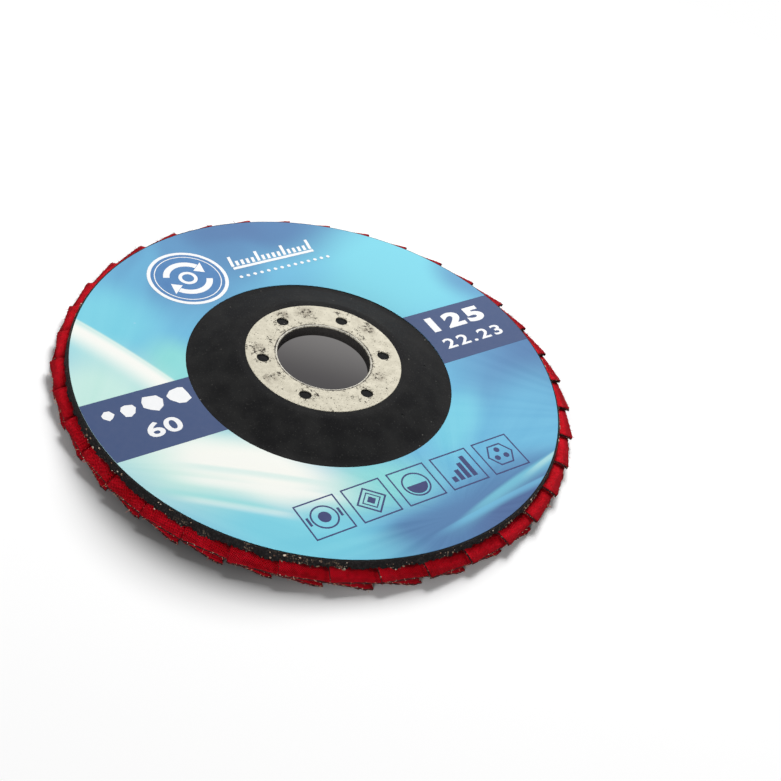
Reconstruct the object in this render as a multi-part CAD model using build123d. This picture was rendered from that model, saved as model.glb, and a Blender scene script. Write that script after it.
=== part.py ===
"""Flap disc for an angle grinder: 125 mm across, arbor bore 22.23 mm, depressed centre (type 27).

A glass-fibre backing plate carries overlapping cloth-backed abrasive flaps in a bed of adhesive.
Its raised hub holds a pressed steel ring that fits the grinder's arbor, and a paper label covers
the plate's flat back. Millimetres. +Z is the bore's axis and points to the label's side, and
Z = 0 lies halfway down the bore's straight wall.
"""
from build123d import *
from math import asin, atan2, ceil, cos, degrees, radians, tan
import os

# Driving dimensions -----------------------------------------------------------------------
disc_radius = 62.5            # circle that the flaps' tips reach
flap_overhang = 3.6           # the tips stand this far out past the plate's rim
bore_radius = 11.115          # half of the standard 22.23 mm arbor bore
bore_length = 2.6             # straight part of the bore's wall
seat_height = 4.28            # hub's seating face above the label's face

# Hub ring, pressed from sheet steel
ring_radius = 18.7
ring_thickness = 0.7
ring_proud = 0.1              # ring's face above the resin round it
lip_radius = 0.45             # rolled edge between the seating face and the bore
collar_wall = 0.6
anchor_count = 6              # holes in which the moulded resin grips the ring
anchor_radius = 1.48
anchor_circle_radius = 14.8
anchor_first_angle = 25.8
anchor_fill = 0.35            # resin in the holes stops this far below the ring's face
mould_gap = 0.02              # between the ring and the resin moulded round it

# Backing plate, moulded from resin and glass-fibre cloth
rim_thickness = 1.5
hub_shoulder = 1.9            # flat of the hub round the ring
nut_seat_radius = 21.0        # flat under the hub that the clamp nut's flange meets
recess_margin = 2.2           # from the foot of the recess's cone to the adhesive's bead
cone_lead = 0.55              # the cone's foot on the label's side lies this far inside the other
cone_round = 5.0
rim_round = 0.25

# Label, a printed paper ring
label_border = 0.35           # bare rim of the plate outside the label
label_margin = 0.2            # bare flat between the cone and the label's hole
label_thickness = 0.12

# Flaps, abrasive cloth in shingles: each lies over its clockwise neighbour's tail
flap_count = 37
flap_width = 20.0
flap_length = 25.2
flap_thickness = 0.85         # measured along Z
flap_gap = 0.05               # between a flap and the next, along Z
droop_setback = 1.1           # the free ends begin to bend down this far inside the plate's rim
droop_radius = 8.0
droop_angle = 23.0
first_flap_angle = 71.2       # centre line of flap_01
lay_wander_angle = 1.3        # how far the laying opens and closes the even pitch
lay_wander_peak = -10.0       # direction in which the flaps run furthest ahead of it
lay_wander_waves = 2

# Adhesive bed between the plate and the flaps
bed_thickness = 0.15          # at the crest of each step
bed_setback = 0.3             # from the bed's edge to the plate's rim
bead_width = 2.9              # bead that squeezed out inside the flaps' inner ends
bead_depth = 2.6
bead_round = 4.2
bead_overlap = 0.6            # how far the bed's steps run into the bead
glue_gap = 0.02               # between the bed and a flap

# Derived sizes ----------------------------------------------------------------------------
plate_radius = disc_radius - flap_overhang
label_radius = plate_radius - label_border
bed_radius = plate_radius - bed_setback
droop_start_radius = plate_radius - droop_setback
hub_top_radius = ring_radius + hub_shoulder
pitch = 360 / flap_count
layer = flap_thickness + flap_gap                 # how far the flaps sink in one pitch
flap_outer = (disc_radius**2 - (flap_width / 2) ** 2) ** 0.5    # outer edge from the axis
flap_inner = flap_outer - flap_length
bead_radius = flap_inner - bead_width
recess_foot_radius = bead_radius - recess_margin
cone_foot_radius = recess_foot_radius - cone_lead

seat_z = bore_length / 2 + lip_radius
hub_top_z = seat_z - ring_proud
hub_bottom_z = -bore_length / 2
label_z = seat_z - seat_height
plate_top_z = label_z - label_thickness
plate_bottom_z = plate_top_z - rim_thickness
bed_z = plate_bottom_z - bed_thickness            # crests of the bed's steps
cone_slope = atan2(hub_top_z - plate_top_z, cone_foot_radius - hub_top_radius)
label_hole_radius = cone_foot_radius + cone_round * tan(cone_slope / 2) + label_margin


def radial_plane(angle, z=0.0):
    """Upright plane through the axis: its x runs outwards at the angle and its y runs up."""
    outward = Vector(1, 0, 0).rotate(Axis.Z, angle)
    across = outward.rotate(Axis.Z, -90)
    return Plane(origin=(0, 0, z), x_dir=outward, z_dir=across)


def turned(shape, angle):
    return Rot(0, 0, angle) * shape


def revolved(outline):
    """Solid of revolution about the bore's axis from an outline of (radius, z) edges."""
    return revolve(Plane.XZ * make_face(outline), Axis.Z)


# Hub ring ---------------------------------------------------------------------------------
def hub_ring():
    """Flat flange and a collar that lines the bore, with a rolled lip between them."""
    under_z = seat_z - ring_thickness
    collar_radius = bore_radius + collar_wall
    lip_top = (bore_radius + lip_radius, seat_z)
    lip_foot = (bore_radius, seat_z - lip_radius)
    section = [
        RadiusArc(lip_foot, lip_top, lip_radius),
        Polyline(
            lip_top,
            (ring_radius, seat_z),
            (ring_radius, under_z),
            (collar_radius, under_z),
            (collar_radius, hub_bottom_z),
            (bore_radius, hub_bottom_z),
            lip_foot,
        ),
    ]
    ring = revolved(section)
    burr = ring.edges().filter_by(GeomType.CIRCLE).group_by(Axis.Z)[-1].sort_by(SortBy.RADIUS)[-1]
    ring = fillet(burr, ring_proud)
    return ring - anchor_pins(anchor_radius, under_z - 1, seat_z + 1)


def anchor_pins(radius, low_z, high_z):
    """Upright pins at the anchor holes, used to cut the holes and to fill them with resin."""
    pin = Pos(0, 0, low_z) * extrude(Circle(radius), high_z - low_z)
    spots = PolarLocations(anchor_circle_radius, anchor_count, anchor_first_angle)
    return [spot * pin for spot in spots]


# Backing plate ----------------------------------------------------------------------------
def backing_plate():
    """Flat ring, cone and raised hub in one moulding, with a pocket for the hub ring."""
    pocket_z = seat_z - ring_thickness - mould_gap
    collar_seat = bore_radius + collar_wall + mould_gap
    pocket_radius = ring_radius + mould_gap
    cone_top = (hub_top_radius, hub_top_z)
    cone_foot = (cone_foot_radius, plate_top_z)
    recess_top = (nut_seat_radius, hub_bottom_z)
    recess_foot = (recess_foot_radius, plate_bottom_z)
    section = [
        Polyline(
            (collar_seat, hub_bottom_z),
            (collar_seat, pocket_z),
            (pocket_radius, pocket_z),
            (pocket_radius, hub_top_z),
        ),
        FilletPolyline(
            (pocket_radius, hub_top_z),
            cone_top,
            cone_foot,
            (plate_radius, plate_top_z),
            (plate_radius, plate_bottom_z),
            recess_foot,
            recess_top,
            (collar_seat, hub_bottom_z),
            radius=[cone_round / 2, cone_round, rim_round, rim_round, cone_round, cone_round / 2],
        ),
    ]
    plate = revolved(section)
    fill_z = seat_z - anchor_fill
    return plate + anchor_pins(anchor_radius - mould_gap, pocket_z - mould_gap, fill_z)


def label():
    """Paper ring, pasted flat on the plate's back."""
    sheet = Circle(label_radius) - Circle(label_hole_radius)
    return Pos(0, 0, plate_top_z) * extrude(sheet, label_thickness)


# Flaps ------------------------------------------------------------------------------------
def edge_angle(radius):
    """Angle from a flap's centre line to its long edges, at a radius."""
    return degrees(asin(flap_width / 2 / radius))


def crest_drop(radius):
    """How far the centre line lies below the clockwise edge, which touches the bed."""
    return layer * edge_angle(radius) / pitch


def flap_line(start_radius, end_radius, lift=0.0):
    """Upper side of a flap along its centre line: level, then bent down past the rim."""
    start = (start_radius, lift - crest_drop(start_radius))
    bend = (droop_start_radius, lift - crest_drop(droop_start_radius))
    level = Line(start, bend)
    bent = JernArc(bend, level % 1, droop_radius, -droop_angle)
    tail, slope = bent @ 1, bent % 1
    end = (end_radius, tail.Y + (end_radius - tail.X) * slope.Y / slope.X)
    return [level, bent, Line(tail, end)]


def flap_section():
    """Radial section of the sheet from which a flap is cut, with room to trim both ends."""
    over = 1.5
    start, end = flap_inner - over, disc_radius + over
    top = flap_line(start, end)
    drop = Pos(0, -flap_thickness)
    bottom = [drop * edge for edge in top]
    ends = [Line(top[0] @ 0, bottom[0] @ 0), Line(top[-1] @ 1, bottom[-1] @ 1)]
    return make_face(top + bottom + ends)


def shingle(section):
    """Sheet that winds round the axis and sinks by one layer in each pitch."""
    reach = ceil(edge_angle(flap_inner) / pitch)
    steps = range(-reach, reach + 1)
    sections = [radial_plane(step * pitch, bed_z - step * layer) * section for step in steps]
    return loft(sections, ruled=True)


def flap():
    """Rectangle cut from the shingled sheet, its length along +X."""
    height = 40
    blank = Pos((flap_inner + flap_outer) / 2, 0, bed_z) * Box(flap_length, flap_width, height)
    return shingle(flap_section()) & blank


def bed_sheet():
    """Shingled sheet that fills the space over the flaps, thick enough to trim flat on top."""
    inner, outer = flap_inner - bead_overlap, bed_radius + bead_overlap
    level = flap_line(inner, outer, glue_gap)[0]
    bend = level @ 1
    roof_z = 3 * layer
    outline = [level @ 0, bend, (outer, bend.Y), (outer, bend.Y + roof_z), (inner, bend.Y + roof_z)]
    return shingle(make_face(Polyline(*outline, close=True)))


def bed_step(sheet, next_turn):
    """Wedge of adhesive over one flap, from its clockwise edge to that of the next flap."""
    inner, depth, across = flap_inner - bead_overlap, 3 * layer, flap_width / 2
    edge = Polyline((inner / 2, -across), (2 * bed_radius, -across))
    next_edge = Rot(0, 0, next_turn) * edge
    plan = make_face(Polyline(edge @ 0, edge @ 1, next_edge @ 1, next_edge @ 0, close=True))
    plan = plan & (Circle(bed_radius) - Circle(inner))
    return sheet & Pos(0, 0, plate_bottom_z) * extrude(plan, -depth)


def adhesive_bed():
    """Ring of adhesive, stepped underneath to seat the flaps, with a bead at their inner ends."""
    wall = flap_inner - glue_gap
    low_z = plate_bottom_z - bead_depth
    section = [
        Polyline((bead_radius, plate_bottom_z), (wall, plate_bottom_z), (wall, low_z)),
        RadiusArc((wall, low_z), (bead_radius, plate_bottom_z), bead_round),
    ]
    bed = revolved(section)
    angles = flap_angles()
    following = angles[1:] + [angles[0] + 360]
    sheet = bed_sheet()
    steps = [turned(bed_step(sheet, b - a), a) for a, b in zip(angles, following)]
    return bed + steps


def flap_angles():
    """Centre lines of the flaps, an even pitch with the slow wander of the laying."""
    angles = []
    for number in range(flap_count):
        even = first_flap_angle + number * pitch
        phase = radians(lay_wander_waves * (even - lay_wander_peak))
        angles.append(even + lay_wander_angle * cos(phase))
    return angles


os.makedirs("parts", exist_ok=True)
parts = {"hub_ring": hub_ring(), "backing_plate": backing_plate(), "label": label()}
parts["adhesive_bed"] = adhesive_bed()
one_flap = flap()
for number, angle in enumerate(flap_angles(), start=1):
    parts[f"flap_{number:02d}"] = turned(one_flap, angle)
for name, solid in parts.items():
    export_step(solid, f"parts/{name}.step")
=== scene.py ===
# %% [markdown]
# # A flap disc, dressed from its CAD frame
# A flap disc grinds and polishes: 37 flaps of abrasive cloth lie like shingles round a resin
# plate, and each one wears back to uncover fresh grit. The CAD frame already holds the true sizes.
# This lesson adds what a CAD solid lacks: woven cloth, chipped grit, a moulded rim, plating and
# print. Blender works in metres, so sizes are written in millimetres and multiplied by MM.

# %% Load the frame
import math
import random

import bmesh
import bpy
from mathutils import Matrix, Vector, noise


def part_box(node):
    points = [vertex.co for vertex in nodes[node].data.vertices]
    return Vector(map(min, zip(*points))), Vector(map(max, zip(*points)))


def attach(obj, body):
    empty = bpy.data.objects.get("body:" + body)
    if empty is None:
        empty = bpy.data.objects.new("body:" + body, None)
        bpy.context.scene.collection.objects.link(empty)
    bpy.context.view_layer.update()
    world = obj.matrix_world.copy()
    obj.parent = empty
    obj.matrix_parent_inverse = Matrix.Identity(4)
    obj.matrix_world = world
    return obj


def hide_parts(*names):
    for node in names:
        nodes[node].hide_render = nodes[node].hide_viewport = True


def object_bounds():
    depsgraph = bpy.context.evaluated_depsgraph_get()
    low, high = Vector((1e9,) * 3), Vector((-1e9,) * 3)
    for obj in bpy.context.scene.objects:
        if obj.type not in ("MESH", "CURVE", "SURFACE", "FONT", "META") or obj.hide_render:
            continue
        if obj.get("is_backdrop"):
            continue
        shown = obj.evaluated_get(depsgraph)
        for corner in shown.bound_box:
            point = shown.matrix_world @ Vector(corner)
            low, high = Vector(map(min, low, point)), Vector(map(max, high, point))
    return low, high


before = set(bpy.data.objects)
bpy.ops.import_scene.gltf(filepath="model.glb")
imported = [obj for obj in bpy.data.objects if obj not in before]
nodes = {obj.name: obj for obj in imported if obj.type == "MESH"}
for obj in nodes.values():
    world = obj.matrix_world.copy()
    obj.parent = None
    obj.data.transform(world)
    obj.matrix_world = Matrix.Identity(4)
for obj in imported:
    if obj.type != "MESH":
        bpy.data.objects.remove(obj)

MM = 0.001
cad_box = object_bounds()
print(f"{len(nodes)} CAD nodes, {(cad_box[1].x - cad_box[0].x) / MM:.1f} mm across")

# %% [markdown]
# ## The camera
# The disc is seen from the front and above, tipped a little clockwise in the view. A camera
# turned by Euler angles would need trial and error, so its matrix is put together from plain
# facts: how high it stands, how far it is rolled, how far away it is and how far off the middle
# of the view the disc lies.

# %% Camera
camera_elevation = math.radians(40.70)
camera_roll = math.radians(16.13)
camera_distance = 327.7 * MM
view_shift = Vector((16.59, -4.91, 0)) * MM
lens_length = 63.43
sensor_width = 36

label_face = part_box("label")[1].z
camera = bpy.data.objects.new("camera", bpy.data.cameras.new("camera"))
camera.data.sensor_width = sensor_width
camera.data.lens = lens_length
tilt = Matrix.Rotation(math.pi / 2 - camera_elevation, 4, "X")
roll = Matrix.Rotation(camera_roll, 4, "Z")
dolly = Matrix.Translation(view_shift + Vector((0, 0, camera_distance)))
camera.matrix_world = Matrix.Translation((0, 0, label_face)) @ tilt @ roll @ dolly
bpy.context.scene.collection.objects.link(camera)
bpy.context.scene.camera = camera
bpy.context.scene.view_settings.view_transform = "Standard"
print("camera at", [round(value / MM, 1) for value in camera.matrix_world.translation])

# %% [markdown]
# ## A short hand for finishes
# A finish is a tree of shader nodes. Written out node by node, every tree is long and looks the
# same, so two small classes keep the calls that each one needs: soft noise, cells, ovals, a
# smooth step from one value to another, some arithmetic, a mix of two colours and a bump.
# Patterns read the Object coordinates, so they keep their true size in millimetres whatever the
# piece's shape.

# %% Finish classes
TALL = 1000  # half height in millimetres of an oval that stands for a column


def srgb(red, green, blue):
    """Colour as a screen shows it, from 0 to 255, turned into the linear light that shaders use."""
    shown = (value / 255 for value in (red, green, blue))
    light = (v / 12.92 if v <= 0.04045 else ((v + 0.055) / 1.055) ** 2.4 for v in shown)
    return (*light, 1.0)


class Tree:
    """A tree of shader nodes, for a finish or for the sky."""

    def __init__(self, tree):
        self.tree = tree

    def feed(self, socket, value):
        """A socket takes another socket's output, or keeps a plain value."""
        if isinstance(value, bpy.types.NodeSocket):
            self.tree.links.new(value, socket)
        else:
            socket.default_value = value

    def add(self, kind, inputs=None, **settings):
        """Adds a shader node with its inputs and settings."""
        node = self.tree.nodes.new("ShaderNode" + kind)
        for setting, value in settings.items():
            setattr(node, setting, value)
        for socket, value in (inputs or {}).items():
            self.feed(node.inputs[socket], value)
        return node

    def sums(self, operation, first, second=0.0):
        """Plain arithmetic on one or two values."""
        return self.add("Math", {0: first, 1: second}, operation=operation).outputs[0]


class Finish(Tree):
    """The node tree of one finish, with patterns laid on the disc in millimetres."""

    def __init__(self, name, **sockets):
        self.material = bpy.data.materials.new(name)
        self.material.use_nodes = True
        super().__init__(self.material.node_tree)
        self.shader = self.tree.nodes["Principled BSDF"]
        for socket, value in sockets.items():
            self.feed(self.shader.inputs[socket.replace("_", " ")], value)
        self.place = self.add("TexCoord").outputs["Object"]

    def laid(self, centre=(0, 0), turn=0.0, size=(1, 1, 1), at=None):
        """Coordinates in millimetres over size, from a centre and a turn about the disc's axis."""
        sockets = {
            "Vector": at or self.place,
            "Location": (centre[0] * MM, centre[1] * MM, 0),
            "Rotation": (0, 0, math.radians(turn)),
            "Scale": tuple(length * MM for length in size),
        }
        return self.add("Mapping", sockets, vector_type="TEXTURE").outputs["Vector"]

    def axes(self, at=None):
        """The three components of a vector."""
        return self.add("SeparateXYZ", {0: at or self.place}).outputs

    def vector(self, operation, *values):
        """Vector arithmetic; a length comes out of the socket Value, a vector out of socket 0."""
        return self.add("VectorMath", dict(enumerate(values)), operation=operation).outputs

    def clouds(self, size, detail=3.0, fade=0.5):
        """Soft noise whose largest lumps are about a size in millimetres."""
        sockets = {"Scale": 1.0, "Detail": detail, "Roughness": fade}
        sockets["Vector"] = self.laid(size=(size, size, size))
        return self.add("TexNoise", sockets).outputs["Fac"]

    def cells(self, size):
        """Distance from the middle of the nearest cell and three random values for each cell."""
        sockets = {"Scale": 1.0, "Randomness": 1.0, "Vector": self.laid(size=(size, size, size))}
        node = self.add("TexVoronoi", sockets)
        return node.outputs["Distance"], self.axes(node.outputs["Color"])

    def oval(self, centre, turn, lengths, at=None):
        """Goes from 1 in the middle of an oval to 0 at its edge, at any height."""
        place = self.laid(centre, turn, (*lengths, TALL), at)
        return self.add("TexGradient", {0: place}, gradient_type="SPHERICAL").outputs["Fac"]

    def step(self, value, low, high, start=0.0, end=1.0):
        """Goes smoothly from start to end while the value goes from low to high."""
        sockets = {0: value, "From Min": low, "From Max": high, "To Min": start, "To Max": end}
        return self.add("MapRange", sockets, interpolation_type="SMOOTHSTEP").outputs["Result"]

    def specks(self, size, rare, reach, strength=1.0, chance=0):
        """Small dots in some of the cells: how rare, how far from the cell's middle, how strong."""
        near, random_values = self.cells(size)
        picked = self.step(random_values[chance], *rare)
        return self.times(self.step(near, *reach, strength, 0.0), picked)

    def times(self, value, *others):
        """Product of two or more values."""
        for other in others:
            value = self.sums("MULTIPLY", value, other)
        return value

    def away(self, along, across):
        """Distance from the centre of a place given by two components."""
        squares = self.sums("ADD", self.times(along, along), self.times(across, across))
        return self.sums("SQRT", squares)

    def near(self, value, middle, inner, outer, start=1.0):
        """Start where the value is within inner of the middle, and 0 past outer."""
        gap = self.sums("ABSOLUTE", self.sums("SUBTRACT", value, middle))
        return self.step(gap, inner, outer, start, 0.0)

    def mix(self, amount, first, second, blend="MIX"):
        """The first colour, with an amount of the second over it."""
        sockets = {0: amount, 6: first, 7: second}
        return self.add("Mix", sockets, data_type="RGBA", blend_type=blend).outputs[2]

    def colour(self, value):
        """Gives the shader its colour."""
        self.feed(self.shader.inputs["Base Color"], value)

    def roughness(self, value):
        """Gives the shader its roughness."""
        self.feed(self.shader.inputs["Roughness"], value)

    def bump(self, height, depth, under=None):
        """Relief of a depth in millimetres, laid on another relief where one is given."""
        sockets = {"Height": height, "Distance": depth * MM}
        if under:
            sockets["Normal"] = under
        relief = self.add("Bump", sockets).outputs["Normal"]
        self.feed(self.shader.inputs["Normal"], relief)
        return relief


print("finishes are mixed in", Finish.__name__)

# %% Dressing a piece
def dress(piece, *finishes):
    """Puts the finishes into a piece's material slots in order; every face keeps its slot."""
    slots = piece.data.materials
    while len(slots) < len(finishes):
        slots.append(None)
    for index, finish in enumerate(finishes):
        slots[index] = finish.material


def piece_of(name, drawing, *finishes):
    """Makes a dressed piece of a finished bmesh and puts it into the scene."""
    piece = bpy.data.objects.new(name, bpy.data.meshes.new(name))
    drawing.to_mesh(piece.data)
    drawing.free()
    bpy.context.scene.collection.objects.link(piece)
    dress(piece, *finishes)
    return piece


print("pieces are dressed by", dress.__name__, "and", piece_of.__name__)

# %% [markdown]
# ## The table and the light
# The disc lies on white paper. Three lights share a plain level, so that a colour renders about
# as it is written: a white sky all round, a broad lamp behind the disc that throws the soft
# shadow forwards, and a weak one in front that opens the shadows. A lamp's power follows from
# the share of the light that it has to give on a level face. The sky looks plain white but gives
# only a tenth of the light. The paper's finish does three more things for what the camera sees:
# it greys the patch under the bore, as if the disc shaded it, deepens the shadow at the front a
# little, and turns plain white far from the disc.

# %% Paper finish
WHITE = (1, 1, 1, 1)
BLACK = (0, 0, 0, 1)
paper_tone = (0.8, 0.8, 0.8, 1)
paper_seen = (1.12, 1.12, 1.12, 1)
bore_shade = (24.0, 30.0)
bore_greys = (srgb(84, 82, 83), srgb(126, 124, 123))
bore_back = 22.0
gloom_centre = (-9, -35)
gloom_reach = (21.0, 45.0)
gloom_depth = 0.16
far_floor = (0.1, 0.3)

paper = Finish("paper_floor")
rays = paper.add("LightPath").outputs
seen = paper.sums("MAXIMUM", rays["Is Camera Ray"], rays["Is Glossy Ray"])
seen = paper.sums("MAXIMUM", seen, rays["Is Transmission Ray"])
bright = paper.mix(seen, paper_tone, paper_seen)
gloom = paper.vector("LENGTH", paper.laid(gloom_centre))["Value"]
gloom = paper.sums("SUBTRACT", 1.0, paper.step(gloom, *gloom_reach, gloom_depth, 1.0))
shaded = paper.mix(paper.times(seen, gloom), bright, BLACK)
surface = paper.add("BsdfDiffuse", {"Color": shaded}).outputs["BSDF"]

from_axis = paper.vector("LENGTH", paper.place)["Value"]
back = paper.step(paper.axes(paper.laid())[1], 0.0, bore_back)
bore_grey = paper.add("Emission", {"Color": paper.mix(back, *bore_greys)}).outputs["Emission"]
under_disc = paper.step(from_axis, bore_shade[0] * MM, bore_shade[1] * MM, 1.0, 0.0)
through_bore = paper.times(under_disc, seen)
surface = paper.add("MixShader", {0: through_bore, 1: surface, 2: bore_grey}).outputs[0]

plain_white = paper.add("Emission", {"Color": WHITE}).outputs["Emission"]
distant = paper.times(paper.step(from_axis, *far_floor), seen)
surface = paper.add("MixShader", {0: distant, 1: surface, 2: plain_white}).outputs[0]
paper.feed(paper.tree.nodes["Material Output"].inputs["Surface"], surface)
print("paper nodes:", len(paper.tree.nodes))

# %% Floor sheet
floor_radius = 3.0
floor_steps = 96
floor_level = cad_box[0].z

sheet = bmesh.new()
bmesh.ops.create_circle(sheet, cap_ends=True, segments=floor_steps, radius=floor_radius)
bmesh.ops.translate(sheet, verts=sheet.verts, vec=(0, 0, floor_level))
floor = piece_of("floor", sheet, paper)
floor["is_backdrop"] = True
print("floor level", round(floor_level / MM, 3), "mm")

# %% Sky and lamps
sky_share = 0.1
lamp_distance = 1.0
LAMPS = [  # name, azimuth, elevation, size in metres, share of the light
    ("lamp_behind", 87, 38, 0.46, 0.82),
    ("lamp_front", -92, 10, 0.26, 0.115),
]

world = bpy.data.worlds.new("sky")
bpy.context.scene.world = world
world.use_nodes = True
sky = Tree(world.node_tree)
rays = sky.add("LightPath").outputs
seen = sky.sums("MAXIMUM", rays["Is Camera Ray"], rays["Is Glossy Ray"])
strength = sky.add("MapRange", {0: seen, "To Min": sky_share}).outputs["Result"]
background = sky.tree.nodes["Background"].inputs
sky.feed(background["Strength"], strength)
sky.feed(background["Color"], WHITE)

for name, azimuth, elevation, size, share in LAMPS:
    azimuth = math.radians(azimuth)
    elevation = math.radians(elevation)
    level = lamp_distance * math.cos(elevation)
    height = lamp_distance * math.sin(elevation)
    lamp = bpy.data.objects.new(name, bpy.data.lights.new(name, "AREA"))
    lamp.location = (level * math.cos(azimuth), level * math.sin(azimuth), height)
    lamp.rotation_euler = (-lamp.location).to_track_quat("-Z", "Y").to_euler()
    lamp.data.size = size
    lamp.data.energy = share * math.pi**2 * lamp_distance**2 / math.sin(elevation)
    bpy.context.scene.collection.objects.link(lamp)
    print(name, round(lamp.data.energy, 2), "W")

# %% [markdown]
# ## The backing plate's resin
# The plate is pressed from phenolic resin and glass cloth. It is matt black with a faint
# mottling, a few pale dust marks and small pits where air stayed in the mould. Only colour and
# a fine relief are needed, so the CAD node keeps its mesh and gets a material.

# %% Resin finish
resin = Finish("resin_plate", Specular_IOR_Level=0.03)
mottle = resin.clouds(6.0, 5.0)
coal = resin.mix(resin.step(mottle, 0.35, 0.7), srgb(29, 29, 30), srgb(43, 43, 43))
dust = resin.step(resin.clouds(0.35, 2.0), 0.6, 0.78)
coal = resin.mix(dust, coal, srgb(66, 66, 64))
flecks = resin.specks(1.3, (0.93, 0.97), (0.09, 0.16))
resin.colour(resin.mix(flecks, coal, srgb(120, 118, 112)))
resin.roughness(resin.step(mottle, 0.3, 0.7, 0.7, 0.85))
pits = resin.specks(5.0, (0.75, 0.85), (0.05, 0.1), chance=1)
grained = resin.bump(resin.clouds(0.3, 4.0), 0.03)
resin.bump(resin.sums("SUBTRACT", 1.0, pits), 0.25, grained)
dress(nodes["backing_plate"], resin)
print("resin nodes:", len(resin.tree.nodes))

# %% [markdown]
# ## The hub ring's plating
# The steel ring has thin zinc plating that has gone cream and dull. Dark resin dust lies in its
# pores, thickest round the bore and round the six anchor holes. To find those holes the finish
# folds the disc into six equal sectors, so that one hole's distance serves for all. Where the
# ring rolls over into the bore, a groove of dirt lies outside a painted highlight on the crest,
# and the wall below is painted dark, as shade inside the bore with some dark residue.

# %% Dirt on the ring
hole_circle = 14.8
hole_first_turn = 25.8
hole_radius = 1.48
hole_count = 6
hole_dirt = 1.5
bore_radius = 11.115
bore_dirt = 2.8
STAINS = [  # radius, direction and size of the dirtiest spots
    (15.6, 193, 2.3),
    (16.0, 119, 3.4),
    (16.5, 140, 2.4),
    (16.0, 231, 2.6),
    (13.8, -6, 2.6),
    (16.6, 62, 2.8),
]

plating = Finish("plated_steel", Metallic=0.05, Specular_IOR_Level=0.08)
x, y, z = plating.axes(plating.laid(turn=hole_first_turn))
radius = plating.away(x, y)
sector = 2 * math.pi / hole_count
folded = plating.sums("WRAP", plating.sums("ARCTAN2", y, x), sector / 2)
folded.node.inputs[2].default_value = -sector / 2
side = plating.times(radius, plating.sums("SINE", folded))
ahead = plating.times(radius, plating.sums("COSINE", folded))
hole_away = plating.away(side, plating.sums("SUBTRACT", ahead, hole_circle))
round_hole = plating.step(hole_away, hole_radius, hole_radius + hole_dirt, 1.0, 0.0)
round_bore = plating.step(radius, bore_radius, bore_radius + bore_dirt, 1.0, 0.0)

blotch = 0.0
for stain_radius, stain_angle, stain_size in STAINS:
    turned = math.radians(stain_angle)
    centre = (stain_radius * math.cos(turned), stain_radius * math.sin(turned))
    spot = plating.oval(centre, 0, (stain_size, stain_size))
    blotch = plating.sums("MAXIMUM", blotch, plating.step(spot, 0.0, 0.8))
crowd = plating.times(plating.sums("MAXIMUM", round_hole, round_bore), 0.86)
crowd = plating.sums("MAXIMUM", crowd, plating.step(plating.clouds(3.5, 3.0), 0.45, 0.66))
crowd = plating.sums("MAXIMUM", crowd, blotch)
print("stains on the ring:", len(STAINS))

# %% Plating finish
lip_groove = bore_radius + 0.58
lip_highlight = bore_radius + 0.26
wall_shade_top = (1.3, 1.64)

pores = plating.clouds(0.7, 6.0, fade=0.75)
pore_edge = plating.step(crowd, 0.0, 1.0, 0.655, 0.53)
pitted = plating.step(plating.sums("SUBTRACT", pores, pore_edge), 0.0, 0.05)
steel = plating.mix(plating.clouds(2.0, 4.0), srgb(176, 170, 152), srgb(222, 216, 197))
smear = plating.times(blotch, plating.step(plating.clouds(1.1, 5.0), 0.35, 0.65, 0.1, 0.75))
steel = plating.mix(smear, steel, srgb(122, 112, 96))
steel = plating.mix(pitted, steel, srgb(58, 50, 43))

drift = plating.step(plating.clouds(6.0, 2.0), 0.36, 0.6, 0.1, 0.85)
pepper = plating.times(plating.specks(0.55, (0.42, 0.46), (0.12, 0.32)), drift)
steel = plating.mix(pepper, steel, srgb(80, 72, 62))

patchy = plating.step(plating.clouds(1.6, 4.0), 0.38, 0.58, 0.3, 1.0)
groove = plating.times(plating.near(radius, lip_groove, 0.07, 0.25), patchy)
steel = plating.mix(groove, steel, srgb(62, 56, 50))
# Painted highlight: a bright line drawn along the rolled crest of the lip.
crest_highlight = plating.near(radius, lip_highlight, 0.06, 0.16, 0.9)
steel = plating.mix(crest_highlight, steel, srgb(226, 223, 212))
# Painted shade with some dark residue: the bore wall below the lip is drawn dark.
wall_shade = plating.step(z, *wall_shade_top, 1.0, 0.0)
plating.colour(plating.mix(wall_shade, steel, srgb(54, 52, 51)))
plating.roughness(plating.step(pores, 0.3, 0.8, 0.5, 0.7))
plating.bump(plating.sums("SUBTRACT", plating.clouds(0.6, 5.0), pitted), 0.05)
dress(nodes["hub_ring"], plating)
print("plating nodes:", len(plating.tree.nodes))

# %% [markdown]
# ## The label's airbrushed ground
# The label is a paper ring printed with soft blue light, as many workshop labels are. A printer
# would airbrush it, and so does this finish: it starts from one sky blue and lays soft oval
# patches of a few tints over it, each with a centre, a size, a turn and a strength. A little
# noise bends the coordinates first, so that no patch shows as a clean ellipse. Then come fans of
# faint rays and a few beams, each sharp on one side and soft on the other.

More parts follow.
